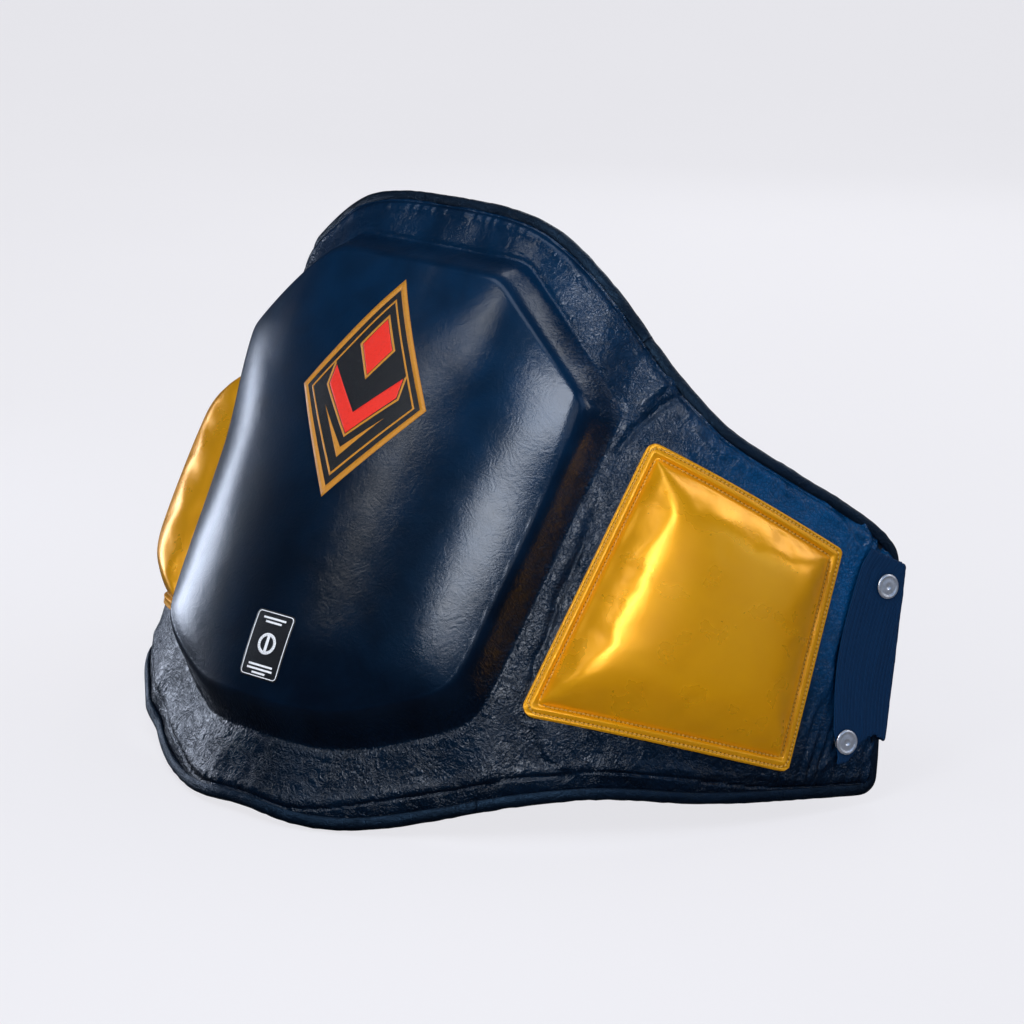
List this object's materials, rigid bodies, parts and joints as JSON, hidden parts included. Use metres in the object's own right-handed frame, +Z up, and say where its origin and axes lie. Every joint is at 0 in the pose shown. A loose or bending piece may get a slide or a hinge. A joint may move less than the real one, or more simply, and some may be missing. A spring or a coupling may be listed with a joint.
{
  "type": "trainer's belly pad",
  "caption": "Curved padded belly shield with a raised strike block, padded side wings, press-stud end tabs and elastic waist straps.",
  "frame": {"origin": "middle of the back lining, on its wearer side, level with the middle of the pad", "axes": "+Z up with the pad standing on its lower edge and its two wing ends, leaning back 31 degrees; -Y is the way the strike block faces; +X is towards the wing at the right of someone looking at the front"},
  "size_m": [0.5488, 0.3326, 0.3465],
  "materials": {
    "leather_navy": "glossy pebbled leather",
    "leather_black": "matt lining leather",
    "leather_gold": "metallic gold leather",
    "foam_soft": "closed-cell foam",
    "foam_firm": "dense closed-cell foam",
    "print_gold": "screen print",
    "print_red": "screen print",
    "label_black": "printed label",
    "webbing": "ribbed elastic webbing",
    "tape": "hook and loop tape",
    "steel": "nickel plated"
  },
  "bodies": {
    "core": {"front_cover": "leather_navy", "strike_foam_outer": "foam_firm", "strike_foam_inner": "foam_soft", "core_foam": "foam_soft", "back_lining": "leather_black", "top_binding": "leather_navy", "bottom_binding": "leather_navy", "badge_gold": "print_gold", "badge_red": "print_red", "label_patch": "label_black"},
    "wing_right": {"wing_cover_right": "leather_navy", "wing_foam_right": "foam_soft", "wing_lining_right": "leather_black", "side_pad_cover_right": "leather_gold", "side_pad_foam_right": "foam_soft", "wing_binding_right": "leather_navy", "studs_right": "steel", "stud_backs_right": "steel"},
    "wing_left": {"wing_cover_left": "leather_navy", "wing_foam_left": "foam_soft", "wing_lining_left": "leather_black", "side_pad_cover_left": "leather_gold", "side_pad_foam_left": "foam_soft", "wing_binding_left": "leather_navy", "studs_left": "steel", "stud_backs_left": "steel"},
    "tab_right": {"end_tab_right": "webbing", "snap_caps_right": "steel", "snap_sockets_right": "steel"},
    "tab_left": {"end_tab_left": "webbing", "snap_caps_left": "steel", "snap_sockets_left": "steel"},
    "strap_right": {"elastic_strap_right": "webbing"},
    "hook_end": {"hook_panel_right": "leather_black", "hook_tape_right": "tape"},
    "strap_left": {"elastic_strap_left": "webbing"},
    "loop_end": {"loop_panel_left": "leather_black", "loop_tape_left": "tape"}
  },
  "joints": [
    {"name": "right_wing_flex", "type": "hinge", "parent": "core", "child": "wing_right", "pos_m": [0.13841, 0.03057, -0.01837], "axis": [0, 0.515, 0.8572], "range_deg": [-25, 15], "stiffness_Nm_per_rad": 3},
    {"name": "left_wing_flex", "type": "hinge", "parent": "core", "child": "wing_left", "pos_m": [-0.13841, 0.03057, -0.01837], "axis": [0, -0.515, -0.8572], "range_deg": [-25, 15], "stiffness_Nm_per_rad": 3},
    {"name": "right_tab_unsnap", "type": "slide", "parent": "wing_right", "child": "tab_right", "axis": [0.939, -0.2947, 0.1771], "range_m": [0, 0.007], "stiffness_N_per_m": 200},
    {"name": "left_tab_unsnap", "type": "slide", "parent": "wing_left", "child": "tab_left", "axis": [-0.939, -0.2947, 0.1771], "range_m": [0, 0.007], "stiffness_N_per_m": 200},
    {"name": "right_strap_swing", "type": "hinge", "parent": "tab_right", "child": "strap_right", "pos_m": [0.26142, 0.18204, -0.08138], "axis": [0.0808, -0.2662, -0.9605], "range_deg": [0, 100], "stiffness_Nm_per_rad": 0.1},
    {"name": "left_strap_swing", "type": "hinge", "parent": "tab_left", "child": "strap_left", "pos_m": [-0.26142, 0.18204, -0.08138], "axis": [0.0808, 0.2662, 0.9605], "range_deg": [0, 112], "stiffness_Nm_per_rad": 0.1},
    {"name": "right_strap_stretch", "type": "slide", "parent": "strap_right", "child": "hook_end", "axis": [-0.9851, 0.0961, 0.1424], "range_m": [0, 0.04], "stiffness_N_per_m": 150},
    {"name": "left_strap_stretch", "type": "slide", "parent": "strap_left", "child": "loop_end", "axis": [0.9754, -0.0989, 0.1972], "range_m": [0, 0.04], "stiffness_N_per_m": 150}
  ]
}
